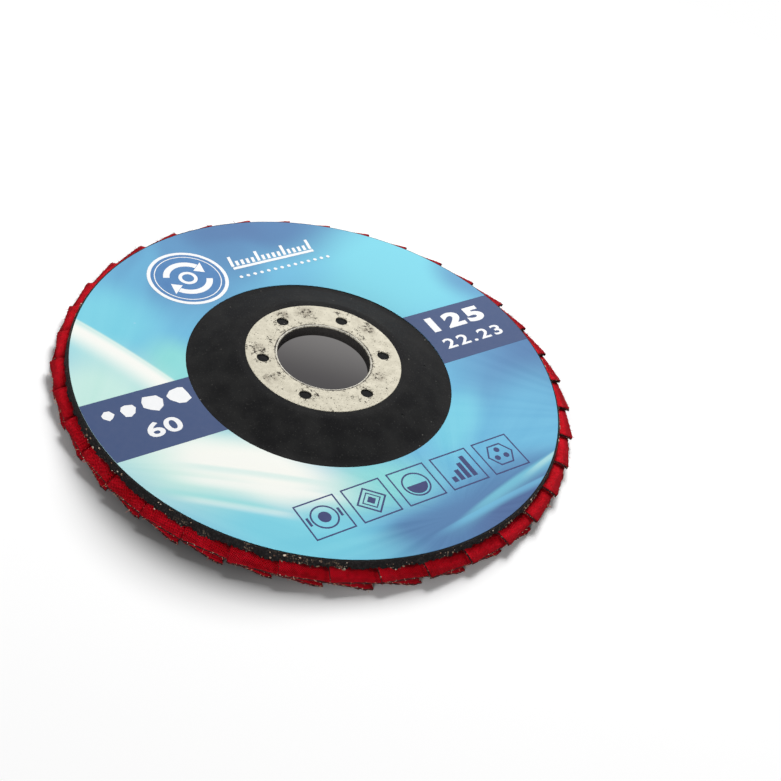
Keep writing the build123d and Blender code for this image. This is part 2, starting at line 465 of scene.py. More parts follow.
# %% Label ground
print_turn = 45.2
sway_size = 26
sway_reach = 9.0
sky_blue = srgb(116, 190, 224)
deep_blue = srgb(90, 132, 178)
mid_blue = srgb(100, 152, 196)
aqua = srgb(130, 215, 233)
mint = srgb(150, 226, 222)
mist = srgb(204, 240, 232)
glow = srgb(253, 254, 248)
dusk = srgb(86, 112, 160)
PATCHES = [  # tint, centre, half lengths, turn, strength
    (aqua, (42, 28), (36, 30), -45, 1.0),
    (aqua, (30, 18), (24, 16), -10, 0.8),
    (deep_blue, (12, 56), (42, 22), -8, 1.0),
    (mid_blue, (-12, 46), (27, 27), 0, 0.9),
    (sky_blue, (-24, 46), (5, 22), -35, 0.6),
    (deep_blue, (0, 48), (9, 20), 10, 0.5),
    (aqua, (-42, 32), (22, 18), 50, 0.9),
    (mint, (-33, 14), (14, 10), 60, 0.9),
    (mid_blue, (52, -18), (30, 26), 0, 1.0),
    (deep_blue, (60, -16), (20, 34), -8, 1.0),
    (sky_blue, (40, -34), (14, 30), -50, 0.8),
    (aqua, (21, -28), (18, 9), 38, 0.8),
    (mid_blue, (12, -50), (46, 11), 2, 0.8),
    (deep_blue, (12, -55.5), (48, 14), 6, 1.0),
    (deep_blue, (-4, -51), (26, 4), 2, 0.7),
    (mint, (-12, -37), (26, 12), -4, 0.85),
    (mist, (-40, -18), (34, 24), -48, 1.0),
    (aqua, (-33, -42), (34, 13), -42, 0.95),
    (glow, (-33, -20), (34, 12), -42, 1.0),
    (mid_blue, (58, 17), (14, 15), 0, 0.8),
    (dusk, (17, -56), (20, 7), 15, 0.8),
    (dusk, (4, 55), (16, 8), -4, 0.4),
    (mist, (-54, 8), (26, 22), 80, 1.0),
]

printed = Finish("printed_paper", Roughness=0.6, Specular_IOR_Level=0.06)
level = printed.laid(turn=print_turn, size=(1 / MM, 1 / MM, 1 / MM))
noise_at = printed.laid(size=(sway_size, sway_size, sway_size))
sway = printed.add("TexNoise", {"Vector": noise_at, "Scale": 1.0, "Detail": 1.0}).outputs["Color"]
sway = printed.vector("SUBTRACT", sway, (0.5, 0.5, 0.5))[0]
sway = printed.add("VectorMath", {0: sway, "Scale": sway_reach * MM}, operation="SCALE").outputs[0]
swayed = printed.vector("ADD", level, sway)[0]
ground = sky_blue
for tint, centre, lengths, turn, amount in PATCHES:
    soft = printed.step(printed.oval(centre, turn, lengths, swayed), 0.0, 0.75, 0.0, amount)
    ground = printed.mix(soft, ground, tint)
print("label patches:", len(PATCHES))

# %% Label rays and beams
ray_start = 16.0
ray_drift = 0.02
FANS = [  # point the rays spread from, how far they reach, rays in a radian, strength
    ((4, -52), 66, 22, 0.2),
    ((-66, -6), 110, 26, 0.16),
    ((66, -44), 80, 30, 0.14),
]
BEAMS = [  # tint, foot of the sharp edge, turn, bow, fades on both sides, half length, strength
    (mist, (-39.9, 22.8), -67, 0.002, 15.0, 0.8, 30, 0.85),
    (glow, (-41.6, 22.1), -66, 0.003, 6.5, 2.6, 30, 1.0),
    (glow, (-39.8, 22.8), -67, 0.002, 0.5, 0.3, 30, 0.25),
    (aqua, (34, -46.0), 10, 0.002, 3.6, 1.2, 40, 0.65),
    (mist, (44, -43.5), 12, 0.002, 1.6, 0.5, 22, 0.5),
    (sky_blue, (18, -51.5), 6, 0.001, 2.0, 0.5, 26, 0.7),
    (glow, (-33, -27), -33, 0.001, 2.8, 1.0, 22, 0.7),
    (glow, (-40, -30), -36, 0.001, 2.0, 1.0, 16, 0.45),
    (mint, (-43, -26.5), -36, 0.001, 2.2, 1.2, 16, 0.4),
    (mint, (-32, -23), -33, 0.001, 2.0, 1.0, 20, 0.3),
]

for source, reach, rays, amount in FANS:
    along, across = printed.axes(printed.laid(source, at=level))[:2]
    bearing = printed.times(printed.sums("ARCTAN2", across, along), rays)
    away = printed.away(along, across)
    spread = printed.add("CombineXYZ", {0: bearing, 1: printed.times(away, ray_drift)}).outputs[0]
    ray = printed.add("TexNoise", {"Vector": spread, "Scale": 0.35, "Detail": 3.0}).outputs["Fac"]
    begins = printed.step(away, 0.0, ray_start)
    ends = printed.step(away, ray_start, reach, 1.0, 0.0)
    shade = printed.times(printed.step(ray, 0.35, 0.7, 0.0, amount), printed.times(begins, ends))
    ground = printed.mix(shade, ground, ground, "MULTIPLY")
for tint, centre, turn, bow, fade, lip, reach, amount in BEAMS:
    along, across = printed.axes(printed.laid(centre, turn, at=level))[:2]
    across = printed.sums("ADD", across, printed.times(along, along, bow))
    soft_side = printed.step(across, -fade, -0.3, 0.0, amount)
    sharp_side = printed.step(across, 0.0, lip, 1.0, 0.0)
    ends = printed.step(printed.sums("ABSOLUTE", along), 0.45 * reach, reach, 1.0, 0.0)
    ground = printed.mix(printed.times(soft_side, sharp_side, ends), ground, tint)
print("fans:", len(FANS), "beams:", len(BEAMS))

# %% Label finish
dots = printed.specks(9.0, (0.7, 0.75), (0.025, 0.045), 0.7)
ground = printed.mix(dots, ground, srgb(156, 214, 236))
fibre = printed.clouds(0.25, 3.0)
printed.colour(printed.mix(0.06, ground, fibre, "OVERLAY"))
printed.bump(fibre, 0.006)
dress(nodes["label"], printed)
print("label nodes:", len(printed.tree.nodes))

# %% [markdown]
# ## The flaps
# Each flap is a rectangle of cotton cloth with a coat of abrasive grain glued underneath. It
# leans on the flap before it, so it twists, and its free end bends down past the plate's rim.
# A grid is laid flat, extruded twice to get the grain coat and the cloth as two layers with
# their own cut edges, and then every vertex is lifted by the formula of the laid shape. A flat
# plan is also the natural place for the weave, so it is kept as a UV map before the bending.

# %% Flap sizes
flap_count = len([name for name in nodes if name.startswith("flap_")])
pitch = 360 / flap_count
flap_width = 20.0
flap_inner = 36.495
flap_outer = 61.695
cloth_thickness = 0.4
coat_thickness = 0.45
layer_depth = 0.9
bed_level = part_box("flap_01")[1].z / MM
trim_over = 1.5
droop_start = 57.8
droop_radius = 8.0
droop_turn = math.radians(23.0)
first_angle = 71.2
wander = 1.3
wander_peak = -10.0


def flap_angle(number):
    """Direction of a flap's centre line: an even pitch with the slow wander of the laying."""
    even = first_angle + (number - 1) * pitch
    return even + wander * math.cos(2 * math.radians(even - wander_peak))


def crest_drop(radius):
    """How far the shingles sink from a flap's leading side to its centre line."""
    return layer_depth * math.degrees(math.asin(flap_width / 2 / radius)) / pitch


slope_run = droop_start - flap_inner + trim_over
level_slope = (crest_drop(flap_inner - trim_over) - crest_drop(droop_start)) / slope_run


def centre_height(radius):
    """Height of a flap's upper face along its centre line: level, an arc, then straight."""
    beyond = radius - droop_start
    if beyond <= 0:
        return -crest_drop(droop_start) + level_slope * beyond
    lean = math.atan(level_slope)
    middle = Vector((droop_start + droop_radius * math.sin(lean), -droop_radius * math.cos(lean)))
    steepest = droop_turn - lean
    swing = math.asin(min(1.0, (radius - middle.x) / droop_radius))
    turned = min(swing, steepest)
    fall = middle.y + droop_radius * math.cos(turned)
    if swing > steepest:
        fall -= (radius - middle.x - droop_radius * math.sin(steepest)) * math.tan(steepest)
    return -crest_drop(droop_start) + fall


def laid_height(x, y):
    """Height of a flap's upper face over a point of its flat plan."""
    around = math.degrees(math.atan2(y, x))
    return bed_level - layer_depth * around / pitch + centre_height(math.hypot(x, y))


lowest = laid_height(flap_outer, flap_width / 2) - cloth_thickness - coat_thickness
print(f"{flap_count} flaps, lowest corner {lowest:.3f} mm, floor {floor_level / MM:.3f} mm")

# %% [markdown]
# ### Cloth, grain and cut edge
# Three finishes meet on a flap. The cloth is dyed red and woven plainly, which two crossed sine
# waves draw well. It is drawn darker where it meets the black rim, as painted shade of the rim,
# and darker again at the tips, as painted shade on the drooping ends. The grain is a packed layer
# of dark red crystals, with a few faces painted bright as glints. The cut edge shows both in
# section: brown resin, threads and pale broken grains.

# %% Cloth finish
thread_pitch = 0.46
rim_shade_until = (59.9, 60.6)
tip_shade_from = (61.4, 62.6)
ragged_reach = 1.6
flap_plan = "flap_plan"


def plan_of(finish):
    """A flap's own flat plan in millimetres, for a pattern that has to follow the cloth."""
    plan = finish.add("UVMap", uv_map=flap_plan).outputs["UV"]
    size = (1 / (flap_outer - flap_inner), 1 / flap_width, 1)
    return finish.add("Mapping", {"Vector": plan, "Scale": size}, vector_type="TEXTURE").outputs[0]


cloth = Finish("abrasive_cloth", Roughness=0.85, Specular_IOR_Level=0.06)
plan = plan_of(cloth)
shift = cloth.add("TexNoise", {"Vector": plan, "Scale": 0.8, "Detail": 2.0}).outputs["Color"]
plan = cloth.vector("MULTIPLY_ADD", shift, (0.3, 0.3, 0), plan)[0]
along, across = cloth.axes(plan)[:2]
warp = cloth.sums("SINE", cloth.times(along, 2 * math.pi / thread_pitch))
weft = cloth.sums("SINE", cloth.times(across, 2 * math.pi / thread_pitch))
weave = cloth.times(warp, weft)
fuzz = cloth.clouds(0.16, 3.0)
dye = cloth.mix(cloth.step(cloth.clouds(5.0, 4.0), 0.3, 0.7), srgb(214, 10, 26), srgb(246, 18, 42))
dye = cloth.mix(cloth.step(weave, -0.9, 0.4, 0.6, 0.0), dye, srgb(160, 6, 18))
worn = cloth.step(cloth.clouds(0.9, 5.0, fade=0.7), 0.46, 0.7, 0.0, 0.5)
dye = cloth.mix(worn, dye, srgb(150, 5, 16))
dye = cloth.mix(cloth.step(fuzz, 0.58, 0.76, 0.0, 0.65), dye, srgb(250, 92, 104))
# Painted shadow with some grime: a dark line where the next flap's edge covers this one.
joint_shadow_and_grime = cloth.near(across, flap_width / 2 + 0.1, 0.15, 0.55, 0.25)
dye = cloth.mix(joint_shadow_and_grime, dye, srgb(56, 6, 10))
level_place = cloth.vector("MULTIPLY", cloth.place, (1, 1, 0))[0]
ragged = cloth.times(cloth.clouds(1.6, 4.0), ragged_reach * MM)
ragged = cloth.sums("ADD", cloth.vector("LENGTH", level_place)["Value"], ragged)
# Painted shade: the drooping tips are drawn darker, as if turned away from the light.
tip_shade = cloth.step(ragged, tip_shade_from[0] * MM, tip_shade_from[1] * MM, 0.0, 0.55)
dye = cloth.mix(tip_shade, dye, srgb(92, 6, 16))
# Painted shade: the cloth next to the black rim is drawn darker, where the rim shades it.
rim_shade = cloth.step(ragged, rim_shade_until[0] * MM, rim_shade_until[1] * MM, 0.7, 0.0)
cloth.colour(cloth.mix(rim_shade, dye, srgb(52, 10, 12)))
cloth.bump(fuzz, 0.04, cloth.bump(weave, 0.09))
print("cloth nodes:", len(cloth.tree.nodes))

# %% Grain and cut edge finishes
grain = Finish("abrasive_grain")
near, facet = grain.cells(0.36)
crystal = grain.mix(facet[0], srgb(74, 14, 14), srgb(150, 34, 28))
# Painted glints: a few crystal faces are drawn bright.
crystal = grain.mix(grain.step(facet[1], 0.86, 0.9), crystal, srgb(214, 176, 160))
gap = grain.step(near, 0.35, 0.6)
grain.colour(grain.mix(gap, crystal, srgb(48, 10, 10)))
grain.roughness(grain.step(facet[2], 0.0, 1.0, 0.3, 0.75))
grain.bump(grain.sums("SUBTRACT", 1.0, near), 0.18)

cut = Finish("cut_edge", Roughness=0.8, Specular_IOR_Level=0.15)
near, facet = cut.cells(0.3)
crumb = cut.mix(facet[0], srgb(52, 11, 14), srgb(118, 20, 26))
crumb = cut.mix(cut.step(facet[1], 0.86, 0.9), crumb, srgb(168, 134, 112))
cut.colour(cut.mix(cut.step(near, 0.3, 0.55), crumb, srgb(34, 8, 10)))
cut.bump(cut.sums("SUBTRACT", 1.0, near), 0.15)
print("grain nodes:", len(grain.tree.nodes), "cut edge nodes:", len(cut.tree.nodes))

# %% [markdown]
# ### Building the sheets
# The grid's cells are about 0.4 mm, the size of the grain, so a small random lift of each lower
# vertex gives the coat real relief. The cut edges wander by a tenth of a millimetre, and each
# flap gets its own small error in length and squareness, as a guillotine leaves it. Two slow
# waves run round the whole ring too: the finished disc was trimmed a little off centre, and the
# free ends spring up on one side.

# %% Flat sheets
cell = 0.4
CLOTH, GRAIN, CUT = range(3)


def flat_sheet():
    """Flat flap in millimetres, in three levels: coat's face 0, glue line 1 and cloth's face 2."""
    length = flap_outer - flap_inner
    sheet = bmesh.new()
    cells = (round(length / cell), round(flap_width / cell))
    bmesh.ops.create_grid(sheet, x_segments=cells[0], y_segments=cells[1], size=0.5)
    bmesh.ops.scale(sheet, vec=(length, flap_width, 1), verts=sheet.verts)
    bmesh.ops.translate(sheet, vec=((flap_inner + flap_outer) / 2, 0, 0), verts=sheet.verts)
    region = sheet.faces[:] + sheet.edges[:]
    for level in (1, 2):
        region = bmesh.ops.extrude_face_region(sheet, geom=region)["geom"]
        rising = [part for part in region if isinstance(part, bmesh.types.BMVert)]
        bmesh.ops.translate(sheet, vec=(0, 0, 1), verts=rising)
    return sheet


def paint_plan(sheet):
    """Keeps the flat plan as a UV map and tells cloth, grain and cut edge apart."""
    plan = sheet.loops.layers.uv.new(flap_plan)
    for face in sheet.faces:
        levels = {round(corner.co.z) for corner in face.verts}
        face.material_index = CUT if len(levels) > 1 else (CLOTH if 2 in levels else GRAIN)
        face.smooth = levels == {2}
        for loop in face.loops:
            u = (loop.vert.co.x - flap_inner) / (flap_outer - flap_inner)
            loop[plan].uv = (u, loop.vert.co.y / flap_width + 0.5)


print("sheets in cells of", cell, "mm, slots cloth, grain and cut edge:", CLOTH, GRAIN, CUT)

# %% Bending a sheet
leading_corner = 0.7
trailing_corner = 1.5
tip_error = 0.2
off_centre = 0.86
off_centre_way = 50.0
end_lift = 0.58
end_lift_way = 76.0
edge_share = 0.999
edge_wander = 0.16
edge_slant = 0.05
rag_scale = 2.5
rag_shift = 0.7
frayed_lip = 0.08
grain_relief = 0.2
rim_clear = 59.6


def round_corner(x, y):
    """Draws a vertex in to the worn corners of the free end."""
    corner = trailing_corner if y > 0 else leading_corner
    ahead = (x - flap_outer) / corner + 1
    beside = (abs(y) - flap_width / 2) / corner + 1
    reach = math.hypot(ahead, beside)
    if min(ahead, beside) <= 0 or reach <= 1:
        return x, y
    x += (ahead / reach - ahead) * corner
    y += math.copysign((beside / reach - beside) * corner, y)
    return x, y


edge_spots = []  # places for crumbs, on the free ends' cut edges
tip_spots = []  # places for loose threads, along the tips


def bend_sheet(sheet, number, chance):
    """Lays the flat sheet: the twist of the shingle, the bent end, the grain and the raw edges."""
    turned = math.radians(flap_angle(number))
    astray = (1 + math.cos(math.radians(flap_angle(number) - off_centre_way))) / 2
    tip_length = chance.uniform(-tip_error, 0.3 * tip_error) + off_centre * astray**1.5
    tip_skew = chance.uniform(-tip_error, tip_error)
    seed = Vector((0, 0, 10 * number))
    for vertex in sheet.verts:
        x, y, level = vertex.co
        level = round(level)
        at_tip = (x - flap_inner) / (flap_outer - flap_inner)
        at_side = 2 * y / flap_width
        on_edge = max(at_tip, abs(at_side)) > edge_share
        rag = noise.noise(Vector((x, y, 0)) * rag_scale + seed + Vector((0, 0, level * rag_shift)))
        x, y = round_corner(x, y)
        x += at_tip**4 * (tip_length + tip_skew * at_side)
        if at_tip > edge_share:
            x += edge_wander * rag - edge_slant * (2 - level)
        if abs(at_side) > edge_share:
            y -= math.copysign(edge_wander * abs(rag), at_side)
        way = math.atan2(y, x) + turned
        sprung = end_lift * max(0.0, math.cos(way - math.radians(end_lift_way)))
        beyond = max(0.0, math.hypot(x, y) - droop_start) / (flap_outer - droop_start)
        thickness = (cloth_thickness + coat_thickness, cloth_thickness, 0.0)[level]
        height = laid_height(x, y) - thickness + sprung * beyond**1.5
        if level == 2 and on_edge:
            height -= frayed_lip
        if level == 0:
            height += grain_relief * chance.random()
        vertex.co = (x, y, height)
        if x > rim_clear and level > 0 and on_edge:
            spot = Matrix.Rotation(turned, 3, "Z") @ vertex.co
            edge_spots.append(spot)
            if at_tip > edge_share:
                tip_spots.append(spot)


print("free ends astray by up to", off_centre + tip_error, "mm, lifted by up to", end_lift, "mm")

# %% Flaps
def flap_piece(number):
    """One flap, laid in its own place of the ring, instead of the CAD node."""
    chance = random.Random(number)
    sheet = flat_sheet()
    paint_plan(sheet)
    bend_sheet(sheet, number, chance)
    turn = Matrix.Rotation(math.radians(flap_angle(number)), 4, "Z")
    bmesh.ops.transform(sheet, matrix=turn @ Matrix.Scale(MM, 4), verts=sheet.verts)
    piece = piece_of(f"cloth_flap_{number:02d}", sheet, cloth, grain, cut)
    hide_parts(f"flap_{number:02d}")
    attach(piece, "root")
    return piece


flaps = [flap_piece(number) for number in range(1, flap_count + 1)]
print(len(flaps), "flaps of", len(flaps[0].data.polygons), "faces")

# %% [markdown]
# ## The adhesive
# The flaps stand in a bed of cured epoxy that squeezes out in a bead at their inner ends. It is
# seen only from below: dark brown, with a soft gloss and a lumpy skin.

# %% Adhesive finish
epoxy = Finish("adhesive", Roughness=0.35, Coat_Weight=0.2)
lumps = epoxy.clouds(2.5, 4.0)
epoxy.colour(epoxy.mix(epoxy.step(lumps, 0.3, 0.7), srgb(44, 32, 26), srgb(78, 58, 44)))
epoxy.bump(lumps, 0.35)
dress(nodes["adhesive_bed"], epoxy)
print("adhesive on", nodes["adhesive_bed"].name)

# %% [markdown]
# ## The print on the label
# Panels, numerals and signs are flat fields of ink. Real ink has no thickness worth measuring,
# but each field is a closed sheet here, so that its edge stays crisp from any distance and in
# the exported mesh. Everything is drawn level in the print's own frame and then turned with it.

# %% Print frame
ink_thickness = 0.02
label_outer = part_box("label")[1].x
label_hole = min(math.hypot(*vertex.co.xy) for vertex in nodes["label"].data.vertices)
print(f"label from {label_hole / MM:.2f} to {label_outer / MM:.2f} mm")


def print_piece(name, drawing, ink, lift):
    """Turns a flat drawing in millimetres into a thin closed sheet of ink on the label."""
    made = bmesh.ops.extrude_face_region(drawing, geom=drawing.faces[:])["geom"]
    rising = [part for part in made if isinstance(part, bmesh.types.BMVert)]
    bmesh.ops.translate(drawing, vec=(0, 0, ink_thickness), verts=rising)
    bmesh.ops.recalc_face_normals(drawing, faces=drawing.faces)
    for face in drawing.faces:
        face.smooth = False
    turn = Matrix.Rotation(math.radians(print_turn), 4, "Z") @ Matrix.Scale(MM, 4)
    rise = Matrix.Translation((0, 0, label_face + lift * MM))
    bmesh.ops.transform(drawing, matrix=rise @ turn, verts=drawing.verts)
    piece = piece_of(name, drawing, ink)
    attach(piece, "root")


def plain_ink(name, tone, other):
    """Ink of one colour with the faint unevenness of print."""
    ink = Finish(name, Roughness=0.6, Specular_IOR_Level=0.06)
    ink.colour(ink.mix(ink.clouds(1.5, 4.0), tone, other))
    ink.bump(ink.clouds(0.25, 3.0), 0.006)
    return ink


navy_ink = plain_ink("navy_ink", srgb(66, 85, 126), srgb(77, 92, 129))
white_ink = plain_ink("white_ink", srgb(246, 248, 250), srgb(255, 255, 255))
line_ink = plain_ink("line_ink", srgb(58, 66, 112), srgb(74, 80, 124))

# %% [markdown]
# ### The band
# One straight band crosses the label, cut off by the label's hole and rim. A ring of the
# label's size is cut by the band's two edges and by a line through the middle, which is easier
# than working out where the lines meet the circles.

# %% Band panels
band_top = 9.2
band_bottom = -9.3
ring_steps = 256


def cut_away(drawing, point, normal):
    """Cuts the drawing along a line and drops what lies on the normal's side."""
    parts = drawing.verts[:] + drawing.edges[:] + drawing.faces[:]
    bmesh.ops.bisect_plane(drawing, geom=parts, plane_co=point, plane_no=normal, clear_outer=True)


def flat_ring(inner, outer):
    """Flat ring between two circles round the disc's axis."""
    drawing = bmesh.new()
    for radius in (inner, outer):
        bmesh.ops.create_circle(drawing, cap_ends=False, segments=ring_steps, radius=radius)
    bmesh.ops.bridge_loops(drawing, edges=drawing.edges)
    return drawing


for name, side in (("left", -1), ("right", 1)):
    panel = flat_ring(label_hole / MM, label_outer / MM)
    cut_away(panel, (0, band_top, 0), (0, 1, 0))
    cut_away(panel, (0, band_bottom, 0), (0, -1, 0))
    cut_away(panel, (0, 0, 0), (-side, 0, 0))
    print_piece(f"band_panel_{name}", panel, navy_ink, 0.0)
print("band", band_top - band_bottom, "mm wide")

# %% [markdown]
# ### Numerals
# The panels carry plain numbers: the grit on one side, the disc's diameter and bore on the
# other. Text objects give the outlines. They become meshes first, and then take their place.

# %% Outlines of figures
def text_drawing(words, space, weight):
    """Flat outline of a number as a bmesh, wherever the text object puts it."""
    text = bpy.data.curves.new("figures", "FONT")
    text.body = words
    text.offset = weight
    text.space_character = space
    text.resolution_u = 6
    holder = bpy.data.objects.new("figures", text)
    bpy.context.scene.collection.objects.link(holder)
    graph = bpy.context.evaluated_depsgraph_get()
    outline = bpy.data.meshes.new_from_object(holder.evaluated_get(graph))
    drawing = bmesh.new()
    drawing.from_mesh(outline)
    bpy.data.objects.remove(holder)
    bpy.data.curves.remove(text)
    bpy.data.meshes.remove(outline)
    bmesh.ops.remove_doubles(drawing, verts=drawing.verts, dist=1e-5)
    return drawing


def fit(drawing, low, high):
    """Moves and stretches a flat drawing into a box in the print's frame."""
    across = [vertex.co.x for vertex in drawing.verts]
    upward = [vertex.co.y for vertex in drawing.verts]
    width = max(across) - min(across)
    height = max(upward) - min(upward)
    stretch = ((high[0] - low[0]) / width, (high[1] - low[1]) / height, 1)
    bmesh.ops.translate(drawing, vec=(-min(across), -min(upward), 0), verts=drawing.verts)
    bmesh.ops.scale(drawing, vec=stretch, verts=drawing.verts)
    bmesh.ops.translate(drawing, vec=(*low, 0), verts=drawing.verts)


print("figures are drawn by", text_drawing.__name__, "and placed by", fit.__name__)

# %% Numerals
NUMERALS = [  # name, figures, low corner, high corner, space between figures, weight
    ("grit", "60", (-47.6, -5.6), (-39.2, -1.0), 1.05, 0.025),
    ("diameter", "125", (35.6, 1.3), (52.6, 6.8), 1.25, 0.05),
    ("bore", "22.23", (35.2, -5.2), (53.4, -1.6), 1.25, 0.02),
]

for name, words, low, high, space, weight in NUMERALS:
    number = text_drawing(words, space, weight)
    fit(number, low, high)
    print_piece(f"numerals_{name}", number, white_ink, ink_thickness)
print(len(NUMERALS), "numbers")

# %% [markdown]
# ### Signs and scales
# The rest of the print is drawn from flat shapes: bars, discs, rings and polygons. A row of
# grains that grows in size stands over the grit number. The round badge holds two arrows that
# chase each other the way the disc turns. A tick scale lies beside it, and five framed squares
# hold plain geometric signs.

# %% Flat shapes
def polygon(drawing, points):
    """One flat face, whose points run anticlockwise."""
    return drawing.faces.new([drawing.verts.new((x, y, 0)) for x, y in points])


def bar(drawing, low, high, slant=0.0):
    """Upright bar between two corners; the slant pushes its top sideways."""
    lean = slant * (high[1] - low[1])
    polygon(drawing, [low, (high[0], low[1]), (high[0] + lean, high[1]), (low[0] + lean, high[1])])


def polar(centre, radius, direction):
    """Point at a radius and a direction in degrees from a centre."""
    turn = math.radians(direction)
    return centre[0] + radius * math.cos(turn), centre[1] + radius * math.sin(turn)


def around(centre, radius, steps, first=0.0):
    """Points of a regular polygon."""
    return [polar(centre, radius, first + 360 * step / steps) for step in range(steps)]


def hoop(drawing, centre, inner, outer, steps=48, first=0.0):
    """Flat frame between two regular polygons."""
    for radius in (inner, outer):
        made = bmesh.ops.create_circle(drawing, cap_ends=False, segments=steps, radius=radius)
        turn = Matrix.Rotation(math.radians(first - 90), 4, "Z")
        place = Matrix.Translation((*centre, 0)) @ turn
        bmesh.ops.transform(drawing, matrix=place, verts=made["verts"])
    loose = [edge for edge in drawing.edges if not edge.link_faces]
    bmesh.ops.bridge_loops(drawing, edges=loose)


def arc(drawing, centre, inner, outer, start, end, steps=20):
    """Part of a flat ring, from the start direction to the end direction in degrees."""
    turns = [start + (end - start) * step / steps for step in range(steps + 1)]
    for first, last in zip(turns, turns[1:]):
        inside = polar(centre, inner, first), polar(centre, inner, last)
        outside = polar(centre, outer, first), polar(centre, outer, last)
        polygon(drawing, [inside[0], *outside, inside[1]])


print("flat shapes: polygon, bar, hoop, arc")

# %% Grain row
GRAINS = [  # centre, radius, number of corners
    ((-53.2, 4.2), 1.5, 7),
    ((-48.4, 4.3), 2.1, 8),
    ((-42.4, 4.4), 2.6, 9),
    ((-35.6, 4.5), 2.9, 9),
]

chance = random.Random(5)
grains = bmesh.new()
for centre, radius, corners in GRAINS:
    reach = [radius * chance.uniform(0.78, 1.08) for corner in range(corners)]
    rim = [360 * (corner + chance.uniform(-0.2, 0.2)) / corners for corner in range(corners)]
    polygon(grains, [polar(centre, *point) for point in zip(reach, rim)])
print_piece("grain_row", grains, white_ink, ink_thickness)
print(len(GRAINS), "grains")

# %% Badge
badge_centre = (-13.5, 41.4)
field_radius = 9.3
rim_ring = (field_radius, 10.2)
thin_ring = (8.2, 8.45)
hub_dot = (1.5, 2.4)
arrow_band = (4.6, 6.2)
arrow_neck = (3.4, 7.4)
arrow_tip = 5.2
arrow_sweep = 120
tip_sweep = 31
badge_steps = 64
badge_ink = plain_ink("badge_ink", srgb(80, 126, 180), srgb(94, 142, 192))

field = bmesh.new()
polygon(field, around(badge_centre, field_radius, badge_steps))
print_piece("badge_field", field, badge_ink, 0.0)

badge = bmesh.new()
hoop(badge, badge_centre, *rim_ring, badge_steps)
hoop(badge, badge_centre, *thin_ring, badge_steps)
for start in (160, -20):
    arc(badge, badge_centre, *arrow_band, start, start - arrow_sweep)
    neck = start - arrow_sweep - 1
    inner, outer = [polar(badge_centre, radius, neck) for radius in arrow_neck]
    polygon(badge, [inner, polar(badge_centre, arrow_tip, neck - tip_sweep), outer])
hoop(badge, badge_centre, *hub_dot, badge_steps // 2)
print_piece("badge_arrows", badge, white_ink, ink_thickness)
print("badge at", badge_centre)

# %% Tick scale
scale_start = -0.8
tick_pitch = 1.56
tick_width = 0.85
tick_count = 16
tick_foot = 41.7
tick_tops = (45.6, 43.6, 43.6, 43.6, 43.6)
tick_slant = 0.18
base_line = (40.5, 41.4)
dot_count = 14
dot_pitch = 2.02
dot_radius = 0.5
first_dot = (-0.4, 37.4)

scale = bmesh.new()
for tick in range(tick_count):
    left = scale_start + tick * tick_pitch
    top = tick_tops[tick % len(tick_tops)]
    bar(scale, (left, tick_foot), (left + tick_width, top), tick_slant)
scale_end = scale_start + (tick_count - 1) * tick_pitch + tick_width
bar(scale, (scale_start, base_line[0]), (scale_end, base_line[1]), tick_slant)
for dot in range(dot_count):
    polygon(scale, around((first_dot[0] + dot_pitch * dot, first_dot[1]), dot_radius, 10))
print_piece("tick_scale", scale, white_ink, ink_thickness)
print(tick_count, "ticks")

# %% Signs
def target_sign(sign, centre):
    """A disc in a ring, between two short bars."""
    u, v = centre
    hoop(sign, centre, 2.9, 3.3)
    polygon(sign, around(centre, 1.5, 24))
    for side in (-3.95, 3.95):
        bar(sign, (u + side - 0.3, v - 1.2), (u + side + 0.3, v + 1.2))


def nested_sign(sign, centre):
    """Three squares on their corners, one in another."""
    hoop(sign, centre, 3.4, 4.0, 4)
    hoop(sign, centre, 2.1, 2.5, 4)
    polygon(sign, around(centre, 1.2, 4))


def bowl_sign(sign, centre):
    """A ring that is half full."""
    hoop(sign, centre, 3.1, 3.5)
    arc(sign, centre, 0.02, 2.7, 180, 360)


def stairs_sign(sign, centre):
    """Four bars, each taller than the last."""
    u, v = centre
    for step in range(4):
        left = u - 3.4 + 1.8 * step
        bar(sign, (left, v - 3.2), (left + 1.2, v - 1.6 + 1.6 * step))


def dots_sign(sign, centre):
    """Three dots in a six sided frame."""
    hoop(sign, centre, 3.2, 3.65, 6)
    for spot in around(centre, 1.5, 3, 90):
        polygon(sign, around(spot, 0.75, 16))


SIGNS = [target_sign, nested_sign, bowl_sign, stairs_sign, dots_sign]
print(len(SIGNS), "signs drawn by functions")

# %% Framed signs
sign_side = 10.3
sign_line = 0.36
sign_pitch = 12.25
sign_height = -40.3

outside = sign_side / 2 * math.sqrt(2)
inside = outside - sign_line * math.sqrt(2)
for index, draw in enumerate(SIGNS):
    centre = ((index - 2) * sign_pitch, sign_height)
    sign = bmesh.new()
    hoop(sign, centre, inside, outside, 4, 45)
    draw(sign, centre)
    print_piece(f"sign_{index + 1}", sign, line_ink, 0.0)
print(len(SIGNS), "signs, pitch", sign_pitch)

# %% [markdown]
# ## The moulded rim
# Resin squeezes out where the mould closes, and trimming leaves a rough black edge with broken
# glass and grain in it. A small closed profile is spun round the plate's rim, and every vertex
# is then pushed about by noise of two sizes. At the front, below the mould line, the crust also
# swells and hangs in drips over the flaps, a black skirt that partly stands in for the shade
# under the rim. Its liveliest vertices are kept for the crumbs.

# %% Crust finish
scorch = Finish("rim_crust", Specular_IOR_Level=0.12, Roughness=0.7)
near, facet = scorch.cells(0.42)
soot = scorch.mix(facet[0], srgb(14, 13, 13), srgb(36, 34, 34))
brown = scorch.step(scorch.clouds(5.0, 3.0), 0.54, 0.66, 0.0, 0.8)
brown = scorch.times(brown, scorch.step(facet[1], 0.5, 0.6))
soot = scorch.mix(brown, soot, srgb(104, 90, 76))
scorch.colour(scorch.mix(scorch.step(near, 0.35, 0.6), soot, srgb(10, 9, 9)))
scorch.bump(scorch.clouds(0.3, 4.0), 0.2)
print("crust finish:", scorch.material.name)

